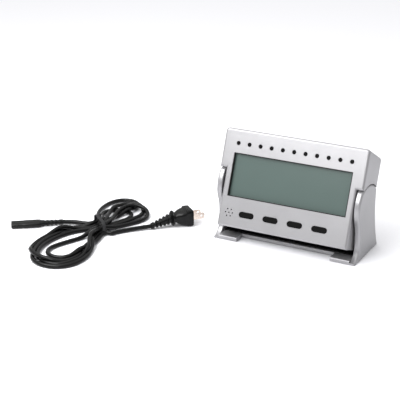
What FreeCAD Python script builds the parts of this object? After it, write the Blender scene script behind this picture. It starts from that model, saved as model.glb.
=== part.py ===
"""Desk round timer: a tilting display head in a two-armed stand, with its detachable mains lead.

Millimetres, +Z up, +Y to the back. The origin is on the surface that the stand rests on,
straight below the axis that the head tilts about. The head's pieces are drawn in a head frame,
whose origin is the middle of the tilt axis and whose +Z runs up along the face, and each body's
Placement leans that frame back.
"""
import FreeCAD, Part
import math
import os
import Sketcher
from FreeCAD import Placement, Rotation, Vector

DOC = FreeCAD.newDocument("RoundTimer")
SHEET = DOC.addObject("Spreadsheet::Sheet", "Sizes")

# Driving dimensions: alias, value, meaning.
DRIVING = [
    ("head_width", 186.0, "across the wide upper part of the head, and across the stand's arms"),
    ("face_height", 120.0, "front face, bottom to top, measured along the face"),
    ("head_depth", 49.0, "front face to rear wall"),
    ("top_fall", 7.0, "how far the top surface falls from front to rear"),
    ("lean", 21.0, "degrees that the face leans back at rest"),
    ("pivot_height", 46.5, "tilt axis above the surface that the stand rests on"),
    ("pivot_setback", 31.0, "tilt axis behind the front face"),
    ("pivot_rise", 38.0, "tilt axis above the face's bottom edge"),
    ("swing_radius", 39.0, "rear lower edge of the head, rounded about the tilt axis"),
    ("wall", 2.4, "case wall"),
    ("bezel_depth", 12.0, "front face to the parting plane"),
    ("corner_round", 4.5, "head corners, seen from the front"),
    ("front_round", 2.6, "edges of the front face"),
    ("rear_round", 4.0, "edges of the rear wall"),
    ("arm_thick", 7.0, "stand arm"),
    ("side_gap", 1.6, "between each arm and the narrow lower head"),
    ("arch_radius", 42.2, "round top of each arm, about the tilt axis"),
    ("arch_gap", 0.8, "between the arm's round top and the head"),
    ("window_wide", 154.0, "display opening"),
    ("window_tall", 53.5, "display opening"),
    ("window_rise", 25.9, "middle of the display opening above the tilt axis"),
    ("rim", 0.9, "thickness of the black rim that lines the display opening"),
    ("fit_gap", 0.3, "clearance round a piece set in an opening"),
    ("display_recess", 4.1, "front face to the display glass"),
    ("glass_thick", 2.8, "display glass"),
    ("guide_thick", 3.0, "light guide behind the glass"),
    ("board_thick", 1.6, "circuit boards"),
    ("lamp_pitch", 14.7, "between phase lamps"),
    ("lamp_rise", 64.4, "phase lamps above the tilt axis"),
    ("lamp_radius", 2.7, "hole of a phase lamp"),
    ("key_pitch", 31.7, "between keys"),
    ("key_drop", 20.6, "keys below the tilt axis"),
    ("key_wide", 20.0, "key opening, end to end"),
    ("key_tall", 7.4, "key opening, height"),
    ("key_proud", 0.6, "key cap in front of the face"),
    ("key_travel", 1.0, "key stroke"),
    ("speaker_radius", 10.0, "speaker"),
    ("grille_ring", 4.7, "radius of the ring of sound holes"),
    ("grille_hole", 0.85, "radius of a sound hole"),
    ("pin_radius", 5.0, "pivot pin"),
    ("pin_clearance", 0.06, "running clearance round the pivot pin, radial"),
    ("boss_radius", 9.0, "pivot boss inside the head"),
    ("boss_length", 4.0, "pivot boss, inward from the side wall"),
    ("socket_wide", 15.5, "figure-eight mains inlet cavity"),
    ("socket_tall", 8.2, "figure-eight mains inlet cavity"),
    ("socket_deep", 11.5, "figure-eight mains inlet cavity"),
    ("socket_x", 52.0, "mains inlet, right of the middle"),
    ("socket_drop", 14.0, "mains inlet below the tilt axis"),
    ("contact_pitch", 8.6, "between the inlet's contact pins"),
    ("contact_radius", 1.2, "inlet contact pin"),
    ("door_wide", 30.0, "battery door recess"),
    ("door_low", 32.0, "battery door recess, lower edge above the tilt axis"),
    ("door_high", 70.0, "battery door, upper edge above the tilt axis"),
    ("door_x", -24.0, "battery door, middle"),
    ("door_thick", 1.8, "battery door"),
    ("cell_radius", 10.0, "coin cell"),
    ("cell_thick", 3.2, "coin cell"),
    ("screw_radius", 1.5, "case screw shank"),
    ("screw_head", 2.8, "case screw head radius"),
    ("foot_gap", 0.8, "rubber feet stand this far out of the base"),
    ("base_thick", 4.4, "stand base"),
    ("base_front", 19.0, "front of the base's bar, in front of the tilt axis"),
    ("base_back", 42.0, "rear of the base, behind the tilt axis"),
    ("toe_front", 34.5, "front of each toe, in front of the tilt axis"),
    ("toe_wide", 31.5, "each toe, from the arm's outer side inward"),
    ("tray_thick", 1.2, "black tray on the base"),
    ("tray_wall", 8.0, "height of the tray's rear wall"),
    ("cord_radius", 2.75, "mains lead"),
    ("connector_x", -280.7, "end of the connector's strain relief"),
    ("connector_y", -87.4, "end of the connector's strain relief"),
    ("connector_turn", 215.9, "direction of the connector's nose, from +X, degrees"),
    ("connector_long", 38.0, "connector body"),
    ("connector_relief", 27.0, "connector's strain relief"),
    ("plug_x", -174.3, "end of the plug's strain relief"),
    ("plug_y", -48.3, "end of the plug's strain relief"),
    ("plug_turn", 50.0, "direction of the plug's blades, from +X, degrees"),
    ("plug_long", 26.5, "plug body"),
    ("plug_wide", 25.0, "plug body"),
    ("plug_tall", 22.0, "plug body"),
    ("plug_relief", 27.0, "plug's strain relief"),
    ("blade_long", 16.5, "plug blades"),
    ("blade_pitch", 12.7, "between the plug's blades"),
    ("tie_x", -228.5, "middle of the tie round the folded lead"),
    ("tie_y", -82.0, "middle of the tie round the folded lead"),
    ("tie_turn", 50.8, "direction that the lead runs through the tie, from +X, degrees"),
    ("tie_wide", 33.0, "inside the tie"),
    ("tie_tall", 16.4, "inside the tie, above the floor"),
    ("tie_thick", 1.0, "tie band"),
    ("tie_long", 4.0, "tie band, along the lead"),
]


class Size:
    """A length that carries its number and the spreadsheet expression that gives it."""

    def __init__(self, value, text):
        self.value = value
        self.text = text

    def _join(self, other, sign, number):
        return Size(number, "(%s %s %s)" % (self.text, sign, size(other).text))

    def __add__(self, other):
        return self._join(other, "+", self.value + size(other).value)

    def __radd__(self, other):
        return size(other) + self

    def __sub__(self, other):
        return self._join(other, "-", self.value - size(other).value)

    def __rsub__(self, other):
        return size(other) - self

    def __mul__(self, other):
        return self._join(other, "*", self.value * size(other).value)

    def __rmul__(self, other):
        return size(other) * self

    def __truediv__(self, other):
        return self._join(other, "/", self.value / size(other).value)

    def __neg__(self):
        return size(0) - self


def size(value):
    return value if isinstance(value, Size) else Size(float(value), "%g" % value)


def root(square):
    return Size(math.sqrt(square.value), "sqrt(%s)" % square.text)


def across(radius, along):
    """Half chord of a circle of this radius, at a distance along from its centre."""
    return root(radius * radius - along * along)


class Sizes:
    """Reads a driving dimension by its alias."""

    def __init__(self):
        for row, (alias, value, meaning) in enumerate(DRIVING, start=1):
            SHEET.set("A%d" % row, meaning)
            SHEET.set("B%d" % row, "%g" % value)
            SHEET.setAlias("B%d" % row, alias)
            setattr(self, alias, Size(value, "Sizes." + alias))


D = Sizes()
DOC.recompute()

# Planes of the head frame (y is measured back from the tilt axis, z up along the face).
FACE = -D.pivot_setback
INNER_FACE = FACE + D.wall
PARTING = FACE + D.bezel_depth
REAR = D.head_depth - D.pivot_setback
INNER_REAR = REAR - D.wall
BOTTOM = -D.pivot_rise
FACE_TOP = D.face_height - D.pivot_rise
HALF_WIDE = D.head_width / 2
ARM_INNER = HALF_WIDE - D.arm_thick
HALF_NARROW = ARM_INNER - D.side_gap
NOTCH = D.arch_radius + D.arch_gap
GLASS_FRONT = FACE + D.display_recess
GLASS_BACK = GLASS_FRONT + D.glass_thick
BOARD_FRONT = GLASS_BACK + D.guide_thick
BOARD_BACK = BOARD_FRONT + D.board_thick

# Levels of the stand, above the surface that it rests on.
BASE_LOW = D.foot_gap
BASE_TOP = BASE_LOW + D.base_thick
TRAY_TOP = BASE_TOP + D.tray_thick

# For each axis: the origin plane square to it, and which way that plane's sketches face along it.
PLANES = {"X": ("YZ_Plane", 1), "Y": ("XZ_Plane", -1), "Z": ("XY_Plane", 1)}
PARTS = []


def top_at(y):
    """Height of the head's top surface at a distance y behind the tilt axis."""
    return FACE_TOP - (y - FACE) * (D.top_fall / D.head_depth)


# ---------------------------------------------------------------- drawing helpers

def place(piece, frame):
    """Seat a piece's own frame in the model: the leaning head, or a piece of the lead."""
    if frame == "head":
        leaning = Rotation(Vector(-1, 0, 0), D.lean.value)
        piece.Placement = Placement(Vector(0, 0, D.pivot_height.value), leaning)
        piece.setExpression("Placement.Base.z", D.pivot_height.text)
        piece.setExpression("Placement.Rotation.Angle", D.lean.text)
    elif frame in ("connector", "plug", "tie"):
        x, y, turn = (getattr(D, frame + end) for end in ("_x", "_y", "_turn"))
        turning = Rotation(Vector(0, 0, 1), turn.value)
        piece.Placement = Placement(Vector(x.value, y.value, 0), turning)
        piece.setExpression("Placement.Base.x", x.text)
        piece.setExpression("Placement.Base.y", y.text)
        piece.setExpression("Placement.Rotation.Angle", turn.text)


def new_body(label, frame="stand"):
    piece = DOC.addObject("PartDesign::Body", label)
    piece.Label = label
    place(piece, frame)
    PARTS.append(piece)
    return piece


def new_sketch(body, axis, start):
    role, facing = PLANES[axis]
    plane = next(f for f in body.Origin.OriginFeatures if f.Role == role)
    sketch = body.newObject("Sketcher::SketchObject", body.Label + "_sketch")
    sketch.AttachmentSupport = [(plane, "")]
    sketch.MapMode = "FlatFace"
    offset = facing * size(start)
    sketch.AttachmentOffset = Placement(Vector(0, 0, offset.value), Rotation())
    sketch.setExpression("AttachmentOffset.Base.z", offset.text)
    return sketch


def bind(sketch, *constraint):
    """Add a dimension whose last item is a Size, and bind it to the sheet."""
    given = constraint[-1]
    index = sketch.addConstraint(Sketcher.Constraint(*constraint[:-1], given.value))
    sketch.setExpression("Constraints[%d]" % index, given.text)


def pin_point(sketch, geometry, point, x, y):
    bind(sketch, "DistanceX", -1, 1, geometry, point, size(x))
    bind(sketch, "DistanceY", -1, 1, geometry, point, size(y))


def circle(sketch, x, y, radius):
    middle = Vector(size(x).value, size(y).value, 0)
    geometry = sketch.addGeometry(Part.Circle(middle, Vector(0, 0, 1), size(radius).value), False)
    pin_point(sketch, geometry, 3, x, y)
    bind(sketch, "Radius", geometry, size(radius))


def arc_between(start, end, radius):
    """Circle arc from start to end: a positive radius turns left on the way, a negative one right."""
    chord = end - start
    normal = Vector(-chord.y, chord.x, 0).normalize()
    height = math.sqrt(max(radius * radius - (chord.Length / 2) ** 2, 0))
    middle = (start + end) / 2 + normal * math.copysign(height, radius)
    first, last = (start, end) if radius > 0 else (end, start)
    angles = [math.atan2(p.y - middle.y, p.x - middle.x) for p in (first, last)]
    if angles[1] < angles[0]:
        angles[1] += 2 * math.pi
    return Part.ArcOfCircle(Part.Circle(middle, Vector(0, 0, 1), abs(radius)), *angles)


def outline(sketch, points):
    """A closed outline. A point is (x, y), or (x, y, radius) where an arc leads on to the next.

    A half circle's radius follows from its ends, so its point has a fourth value, the x of its centre.
    """
    ends = []
    spots = [Vector(size(p[0]).value, size(p[1]).value, 0) for p in points]
    for index, point in enumerate(points):
        here, there = spots[index], spots[(index + 1) % len(points)]
        if len(point) == 2:
            geometry = sketch.addGeometry(Part.LineSegment(here, there), False)
            ends.append((geometry, 1, 2))
            continue
        radius = size(point[2])
        geometry = sketch.addGeometry(arc_between(here, there, radius.value), False)
        ends.append((geometry, 1, 2) if radius.value > 0 else (geometry, 2, 1))
        if len(point) == 4:
            bind(sketch, "DistanceX", -1, 1, geometry, 3, size(point[3]))
        else:
            bind(sketch, "Radius", geometry, radius if radius.value > 0 else -radius)
    for index, point in enumerate(points):
        geometry, first, _ = ends[index]
        before, _, last = ends[index - 1]
        sketch.addConstraint(Sketcher.Constraint("Coincident", before, last, geometry, first))
        pin_point(sketch, geometry, first, point[0], point[1])


def rectangle(sketch, x0, y0, x1, y1):
    outline(sketch, [(x0, y0), (x1, y0), (x1, y1), (x0, y1)])


def obround(sketch, x, y, wide, tall):
    """A slot with round ends, wide across x."""
    half = (size(wide) - tall) / 2
    end = size(tall) / 2
    right, left = size(x) + half, size(x) - half
    low, high = size(y) - end, size(y) + end
    outline(sketch, [(left, low), (right, low, end, right), (right, high), (left, high, end, left)])


def pad(body, axis, start, end, draw):
    """Add the shape that draw(sketch) draws square to axis, from start to end along it."""
    sketch = new_sketch(body, axis, start)
    draw(sketch)
    feature = body.newObject("PartDesign::Pad", body.Label + "_pad")
    feature.Profile = sketch
    feature.setExpression("Length", (size(end) - start).text)
    feature.Reversed = PLANES[axis][1] < 0
    DOC.recompute()
    return feature


def cut(body, axis, start, end, draw):
    """Take the drawn shape away, from start to end along axis."""
    before = body.Shape.Volume
    sketch = new_sketch(body, axis, start)
    draw(sketch)
    feature = body.newObject("PartDesign::Pocket", body.Label + "_cut")
    feature.Profile = sketch
    feature.setExpression("Length", (size(end) - start).text)
    feature.Reversed = PLANES[axis][1] > 0
    DOC.recompute()
    if not body.Shape.Volume < before - 1e-6:
        raise RuntimeError("a cut in %s removes nothing" % body.Label)
    return feature


def round_edges(body, radius, choose):
    """Fillet the edges of the body's last feature whose box choose(box) accepts."""
    base = body.Tip
    names = ["Edge%d" % (i + 1) for i, edge in enumerate(base.Shape.Edges) if choose(edge.BoundBox)]
    if not names:
        raise RuntimeError("no edge to round in " + body.Label)
    fillet = body.newObject("PartDesign::Fillet", body.Label + "_round")
    fillet.Base = (base, names)
    fillet.setExpression("Radius", size(radius).text)
    DOC.recompute()
    return fillet


def turned(body, points):
    """Revolve a profile of (distance along x, radius) points about the body's own X axis."""
    sketch = new_sketch(body, "Y", 0)
    outline(sketch, points)
    feature = body.newObject("PartDesign::Revolution", body.Label + "_turned")
    feature.Profile = sketch
    axis = next(f for f in body.Origin.OriginFeatures if f.Role == "X_Axis")
    feature.ReferenceAxis = (axis, [""])
    feature.Angle = 360
    DOC.recompute()
    return feature


def flat(value, low, high):
    """True where a box side lies on one value."""
    return abs(low - value.value) < 0.01 and abs(high - value.value) < 0.01


def discs(label, frame, axis, layers, places):
    """One disc stack at each place: layers are (start, end, radius) along axis."""
    body = new_body(label, frame)
    for start, end, radius in layers:
        def draw(sketch, radius=radius):
            for x, y in places:
                circle(sketch, x, y, radius)
        pad(body, axis, start, end, draw)
    return body


# ---------------------------------------------------------------- places that repeat

LAMP_PLACES = [((i - 5) * D.lamp_pitch, D.lamp_rise) for i in range(11)]
KEY_PLACES = [((i - 1.5) * D.key_pitch, -D.key_drop) for i in range(4)]
SPEAKER_X = -(HALF_NARROW - D.wall - D.speaker_radius - 1.2)
SPEAKER_Z = -D.key_drop
CASE_SCREW_PLACES = [(sx * x, z) for sx in (-1, 1) for x, z in (
    (HALF_WIDE - D.wall - 5, FACE_TOP - 15),
    (1.5 * D.key_pitch + D.key_wide / 2 + 1.2, BOTTOM + D.wall + 5.6),
)]
CASE_SCREW_SEAT = PARTING + 20
CASE_POST_RADIUS = 3.4
CASE_SLEEVE_RADIUS = 4.0

# Circuit boards: their posts, the screws into them and the holes for the screws.
BOARD_HALF = HALF_NARROW - D.wall - 1
BOARD_POST_X = 50
BOARD_POST_PLACES = [(sx * BOARD_POST_X, z) for sx in (-1, 1) for z in (
    D.lamp_rise + D.lamp_radius + 6,
    D.window_rise - D.window_tall / 2 - 6.2,
)]
KEY_POST_PLACES = [(sx * D.key_pitch, -D.key_drop - 8) for sx in (-1, 1)]
MAIN_POST_PLACES = [(x, z) for x in (-62, 20) for z in (-12, 24)]
BOARD_POST_RADIUS = 2.0
MAIN_POST_RADIUS = 2.4
BOARD_SCREW_RADIUS = 0.9
BOARD_SCREW_HEAD = 1.8
BOARD_SCREW_HEAD_TALL = 1.3
BOARD_HOLE_RADIUS = 1.1
MAIN_BOARD_FRONT = BOARD_BACK + 13
MAIN_BOARD_BACK = MAIN_BOARD_FRONT + D.board_thick
MAIN_BOARD_LEFT, MAIN_BOARD_RIGHT = -68, 26
MAIN_BOARD_LOW, MAIN_BOARD_HIGH = -18, 30
CHIP_LEFT, CHIP_LOW, CHIP_SIDE, CHIP_THICK = -34, 0, 16, 2.2
CAPACITOR_PLACES = [(2, -4), (2, 6), (2, 16)]
CAPACITOR_RADIUS, CAPACITOR_LONG = 3.6, 9

# Transformer, seen from the front: core, the coil's limbs through it, and the vents over it.
TRANSFORMER_X, TRANSFORMER_Z = 52, 20
CORE_HALF_WIDE, CORE_HALF_TALL = 17, 14
LIMB_X, LIMB_HALF_WIDE, LIMB_HALF_TALL = 8, 3.5, 9
COIL_OVERHANG = 4
LIMB_GAP = 0.1
TRANSFORMER_FRONT = INNER_REAR - 17
VENT_LOW, VENT_TALL, VENT_PITCH, VENT_HALF, VENTS = 42, 20, 5, 1, 7

# Mains inlet and coin cell.
SOCKET_BODY_WIDE = D.socket_wide + 4
SOCKET_BODY_TALL = D.socket_tall + 4
SOCKET_FLANGE = 2
DOOR_FLOOR = REAR - D.door_thick - 0.3
CELL_FLOOR = DOOR_FLOOR - D.cell_thick - 2.4
CELL_RISE = D.door_low + D.cell_radius + 5
CELL_CONTACT_THICK = 1.2

# Stand arm, seen from the side, and how it meets the base.
ARM_REAR_SHOULDER = 30.2
ARM_FRONT_SHOULDER = 17.2
ARM_BULGE_FRONT, ARM_BULGE_LOW = 23.8, 2.4
ARM_SHIN_SETBACK, ARM_SHIN_TOP, ARM_SHIN_FOOT = 14, 13.5, 28
TOE_EDGE = 1.8
FRONT_BULGE_RADIUS = 33
FRONT_HOLLOW_RADIUS = 40
TOE_HOLLOW_RADIUS = 16
REAR_HOLLOW_RADIUS = 136
TONGUE_LONG, TONGUE_THICK = 16, 1.7
TONGUE_FRONT, TONGUE_BACK = 10, 34
PIN_SEAT = 4
BASE_SCREW_X = HALF_WIDE - D.toe_wide + TONGUE_LONG / 2
BASE_SCREW_Y = (-4, 28)
FOOT_RADIUS = 5.5
WASHER_RADIUS = 11
CLIP_RIM = 2.2

# Mains lead: end pieces, and the points that its uncoiled stretches pass.
CONNECTOR_AXIS = 4.2
CONNECTOR_WIDE = D.socket_wide - 0.6
CONNECTOR_TALL = D.socket_tall - 0.5
PLUG_RELIEF_END = 4.4
PLUG_MIDDLE = D.plug_tall / 2
BLADE_HALF_THICK = 0.75
BLADE_TALL = {-1: 7.9, 1: 6.3}
BLADE_SEAT = 3
LEAD_START = [(-270.4, -80.0, 3.6), (-260.0, -76.5, 3.0), (-250.0, -75.0, 2.9)]
LEAD_END = [(-206.0, -83.5, 2.9), (-197.0, -71.0, 3.1), (-186.0, -59.0, 3.6)]

# The folded lead, seen from above: outside, the part that lies deep, and the clear middle.
HANK_OUTLINE = [
    (-218, -94.4), (-211, -115), (-199, -148), (-195, -172), (-197, -189), (-207, -203),
    (-226, -209), (-245, -204), (-262, -188), (-274, -163), (-277, -138), (-274, -116),
    (-262, -97), (-250, -80), (-250, -72), (-242.8, -74.2), (-239, -69.6), (-250, -56),
    (-262, -32), (-264, -8), (-258, 8), (-244, 17), (-228, 14), (-212, 2), (-197, -16),
    (-196, -40), (-208, -70), (-208, -81), (-203.5, -85), (-206, -88.5), (-214.2, -89.8),
]
HANK_DEEP = [
    (-218, -94.4), (-224, -112), (-250, -104), (-242.8, -74.2), (-239, -69.6), (-250, -56),
    (-250, -34), (-200, -34), (-208, -70), (-214.2, -89.8),
]
HANK_OPENING = [(-246, -168), (-226, -176), (-216, -160), (-220, -132), (-234, -124), (-255, -138)]
HANK_LOW = 11.2
HANK_TALL = 15.4


# ---------------------------------------------------------------- head: case

def bezel_side(sketch):
    outline(sketch, [(FACE, BOTTOM), (PARTING, BOTTOM), (PARTING, top_at(PARTING)), (FACE, FACE_TOP)])


def bezel_brow(sketch):
    outline(sketch, [
        (PARTING, across(NOTCH, PARTING)),
        (PARTING, top_at(PARTING)),
        (FACE, FACE_TOP),
        (FACE, across(NOTCH, FACE), -NOTCH),
    ])


def front_bezel():
    body = new_body("front_bezel", "head")
    pad(body, "X", -HALF_NARROW, HALF_NARROW, bezel_side)
    pad(body, "X", -HALF_WIDE, HALF_WIDE, bezel_brow)
    round_edges(body, D.corner_round, lambda b: b.YLength > 8 and b.XLength < 0.01
                and abs(abs(b.XMin) - HALF_WIDE.value) < 0.01 and b.ZMax > FACE_TOP.value - 4)
    round_edges(body, D.front_round, lambda b: flat(FACE, b.YMin, b.YMax))
    inner = across(NOTCH + D.wall, PARTING)
    cut(body, "X", -(HALF_NARROW - D.wall), HALF_NARROW - D.wall, lambda s: outline(s, [
        (INNER_FACE, BOTTOM + D.wall),
        (PARTING, BOTTOM + D.wall),
        (PARTING, top_at(PARTING) - D.wall),
        (INNER_FACE, top_at(INNER_FACE) - D.wall),
    ]))
    cut(body, "X", -(HALF_WIDE - D.wall), HALF_WIDE - D.wall, lambda s: outline(s, [
        (PARTING, inner),
        (PARTING, top_at(PARTING) - D.wall),
        (INNER_FACE, top_at(INNER_FACE) - D.wall),
        (INNER_FACE, across(NOTCH + D.wall, INNER_FACE), -(NOTCH + D.wall)),
    ]))
    half_wide, half_tall = D.window_wide / 2, D.window_tall / 2
    cut(body, "Y", FACE, INNER_FACE, lambda s: rectangle(
        s, -half_wide, D.window_rise - half_tall, half_wide, D.window_rise + half_tall))
    cut(body, "Y", FACE, INNER_FACE, draw_face_holes)
    pad(body, "Y", INNER_FACE, PARTING, lambda s: [
        circle(s, x, z, CASE_POST_RADIUS) for x, z in CASE_SCREW_PLACES])
    pad(body, "Y", INNER_FACE, BOARD_FRONT, lambda s: [
        circle(s, x, z, BOARD_POST_RADIUS) for x, z in BOARD_POST_PLACES + KEY_POST_PLACES])
    cut(body, "Y", INNER_FACE + 1, PARTING, lambda s: [
        circle(s, x, z, D.screw_radius) for x, z in CASE_SCREW_PLACES])
    cut(body, "Y", INNER_FACE + 1, BOARD_FRONT, lambda s: [
        circle(s, x, z, BOARD_SCREW_RADIUS) for x, z in BOARD_POST_PLACES + KEY_POST_PLACES])


def draw_face_holes(sketch):
    for x, z in LAMP_PLACES:
        circle(sketch, x, z, D.lamp_radius)
    for x, z in KEY_PLACES:
        obround(sketch, x, z, D.key_wide, D.key_tall)
    circle(sketch, SPEAKER_X, SPEAKER_Z, D.grille_hole)
    for step in range(6):
        turn = math.radians(60 * step)
        circle(sketch, SPEAKER_X + math.cos(turn) * D.grille_ring,
               SPEAKER_Z + math.sin(turn) * D.grille_ring, D.grille_hole)


def shell_side(sketch, inset):
    """Rear shell seen from the side, brought in by inset at the bottom, rear and top."""
    low, rear, swing = BOTTOM + inset, REAR - inset, D.swing_radius - inset
    outline(sketch, [
        (PARTING, low),
        (across(swing, low), low, swing),
        (rear, -across(swing, rear)),
        (rear, top_at(rear) - inset),
        (PARTING, top_at(PARTING) - inset),
    ])


def shell_brow(sketch, inset):
    """The wide upper part of the rear shell seen from the side, above the arm's round top."""
    notch, rear = NOTCH + inset, REAR - inset
    outline(sketch, [
        (rear, across(notch, rear)),
        (rear, top_at(rear) - inset),
        (PARTING, top_at(PARTING) - inset),
        (PARTING, across(notch, PARTING), -notch),
    ])


def rear_shell():
    body = new_body("rear_shell", "head")
    none = size(0)
    inner_narrow, inner_wide = HALF_NARROW - D.wall, HALF_WIDE - D.wall
    pad(body, "X", -HALF_NARROW, HALF_NARROW, lambda s: shell_side(s, none))
    pad(body, "X", -HALF_WIDE, HALF_WIDE, lambda s: shell_brow(s, none))
    round_edges(body, D.corner_round, lambda b: b.YLength > 8 and b.XLength < 0.01
                and abs(abs(b.XMin) - HALF_WIDE.value) < 0.01 and b.ZMin > top_at(REAR).value - 4)
    round_edges(body, D.rear_round, lambda b: flat(REAR, b.YMin, b.YMax)
                and b.ZMax > across(NOTCH, REAR).value + 1)
    cut(body, "X", -inner_narrow, inner_narrow, lambda s: shell_side(s, D.wall))
    cut(body, "X", -inner_wide, inner_wide, lambda s: shell_brow(s, D.wall))
    for side in (-1, 1):
        outer, inner = side * inner_narrow, side * (inner_narrow - D.boss_length)
        low, high = (outer, inner) if side < 0 else (inner, outer)
        pad(body, "X", low, high, lambda s: circle(s, 0, 0, D.boss_radius))
    cut(body, "X", -HALF_NARROW, HALF_NARROW, lambda s: circle(s, 0, 0, D.pin_radius + D.pin_clearance))
    pad(body, "Y", PARTING, INNER_REAR, lambda s: [
        circle(s, x, z, CASE_SLEEVE_RADIUS) for x, z in CASE_SCREW_PLACES])
    cut(body, "Y", PARTING, CASE_SCREW_SEAT, lambda s: [
        circle(s, x, z, D.screw_radius + 0.2) for x, z in CASE_SCREW_PLACES])
    cut(body, "Y", CASE_SCREW_SEAT, REAR, lambda s: [
        circle(s, x, z, D.screw_head + D.fit_gap) for x, z in CASE_SCREW_PLACES])
    cut_inlet_opening(body)
    battery_bay(body)
    cut(body, "Y", INNER_REAR, REAR, draw_vents)
    pad(body, "Y", MAIN_BOARD_BACK, INNER_REAR, lambda s: [
        circle(s, x, z, MAIN_POST_RADIUS) for x, z in MAIN_POST_PLACES])
    cut(body, "Y", MAIN_BOARD_BACK, MAIN_BOARD_BACK + 8, lambda s: [
        circle(s, x, z, BOARD_SCREW_RADIUS) for x, z in MAIN_POST_PLACES])


def cut_inlet_opening(body):
    half_wide = (SOCKET_BODY_WIDE + D.fit_gap) / 2
    half_tall = (SOCKET_BODY_TALL + D.fit_gap) / 2
    cut(body, "Y", INNER_REAR, REAR, lambda s: rectangle(
        s, D.socket_x - half_wide, -D.socket_drop - half_tall,
        D.socket_x + half_wide, -D.socket_drop + half_tall))


def battery_bay(body):
    """A tub inside the rear wall for the coin cell, under a door that slides up in a recess."""
    half = D.door_wide / 2
    pad(body, "Y", CELL_FLOOR - D.wall, INNER_REAR, lambda s: rectangle(
        s, D.door_x - half, D.door_low, D.door_x + half, D.door_high + 2))
    cut(body, "Y", DOOR_FLOOR, REAR, lambda s: rectangle(
        s, D.door_x - half, D.door_low, D.door_x + half, FACE_TOP))
    reach = D.cell_radius + 1.5
    cut(body, "Y", CELL_FLOOR, DOOR_FLOOR, lambda s: rectangle(
        s, D.door_x - reach, CELL_RISE - reach, D.door_x + reach, CELL_RISE + reach))


def draw_vents(sketch):
    for step in range(VENTS):
        x = TRANSFORMER_X + (step - (VENTS - 1) / 2) * VENT_PITCH
        rectangle(sketch, x - VENT_HALF, VENT_LOW, x + VENT_HALF, VENT_LOW + VENT_TALL)


# ---------------------------------------------------------------- head: display, lamps and keys

def display():
    gap, rim = D.fit_gap, D.rim
    half_wide, half_tall = D.window_wide / 2, D.window_tall / 2
    low, high = D.window_rise - half_tall, D.window_rise + half_tall

    def frame_rect(sketch, grow):
        rectangle(sketch, -half_wide - grow, low - grow, half_wide + grow, high + grow)

    frame = new_body("display_frame", "head")
    pad(frame, "Y", INNER_FACE, GLASS_FRONT, lambda s: frame_rect(s, size(3)))
    pad(frame, "Y", FACE + 0.3, INNER_FACE, lambda s: frame_rect(s, -gap / 2))
    cut(frame, "Y", FACE, GLASS_FRONT, lambda s: frame_rect(s, -(gap / 2 + rim)))
    glass = new_body("display_glass", "head")
    pad(glass, "Y", GLASS_FRONT, GLASS_BACK, lambda s: frame_rect(s, size(3)))
    guide = new_body("light_guide", "head")
    pad(guide, "Y", GLASS_BACK, BOARD_FRONT, lambda s: frame_rect(s, size(2)))
    board = new_body("display_board", "head")
    pad(board, "Y", BOARD_FRONT, BOARD_BACK, lambda s: rectangle(
        s, -BOARD_HALF, low - 9, BOARD_HALF, D.lamp_rise + D.lamp_radius + 9))
    cut(board, "Y", BOARD_FRONT, BOARD_BACK, lambda s: [
        circle(s, x, z, BOARD_HOLE_RADIUS) for x, z in BOARD_POST_PLACES])


def lamps():
    discs("lamp_windows", "head", "Y", [
        (FACE + 0.25, INNER_FACE, D.lamp_radius - 0.1),
        (INNER_FACE, INNER_FACE + 0.9, D.lamp_radius + 1.1),
    ], LAMP_PLACES)
    discs("lamp_leds", "head", "Y", [
        (INNER_FACE + 1.4, BOARD_FRONT - 1.2, D.lamp_radius - 1.2),
        (BOARD_FRONT - 1.2, BOARD_FRONT, D.lamp_radius - 0.9),
    ], LAMP_PLACES)


def keys():
    flange_back = INNER_FACE + D.fit_gap + 1
    stem_end = flange_back + 0.9
    for number, (x, z) in enumerate(KEY_PLACES, start=1):
        cap = new_body("key_cap_%d" % number, "head")
        pad(cap, "Y", FACE - D.key_proud, INNER_FACE + D.fit_gap, lambda s, x=x, z=z: obround(
            s, x, z, D.key_wide - 2 * D.fit_gap, D.key_tall - 2 * D.fit_gap))
        round_edges(cap, 0.5, lambda b: flat(FACE - D.key_proud, b.YMin, b.YMax))
        pad(cap, "Y", INNER_FACE + D.fit_gap, flange_back, lambda s, x=x, z=z: obround(
            s, x, z, D.key_wide + 2.4, D.key_tall + 2.4))
        pad(cap, "Y", flange_back, stem_end, lambda s, x=x, z=z: circle(s, x, z, 1.8))
    plunger_front = stem_end + D.key_travel + 0.1
    switches = new_body("key_switches", "head")
    pad(switches, "Y", plunger_front + 0.8, BOARD_FRONT, lambda s: [
        rectangle(s, x - 3, z - 3, x + 3, z + 3) for x, z in KEY_PLACES])
    pad(switches, "Y", plunger_front, plunger_front + 0.8, lambda s: [
        circle(s, x, z, 1.7) for x, z in KEY_PLACES])
    board = new_body("key_board", "head")
    reach = 1.5 * D.key_pitch + 5.5
    pad(board, "Y", BOARD_FRONT, BOARD_BACK, lambda s: rectangle(
        s, -reach, -D.key_drop - 11, reach, -D.key_drop + 5.5))
    cut(board, "Y", BOARD_FRONT, BOARD_BACK, lambda s: [
        circle(s, x, z, BOARD_HOLE_RADIUS) for x, z in KEY_POST_PLACES])
    discs("board_screws", "head", "Y", [
        (BOARD_FRONT - 5, BOARD_BACK, BOARD_SCREW_RADIUS),
        (BOARD_BACK, BOARD_BACK + BOARD_SCREW_HEAD_TALL, BOARD_SCREW_HEAD),
    ], BOARD_POST_PLACES + KEY_POST_PLACES)


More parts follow.
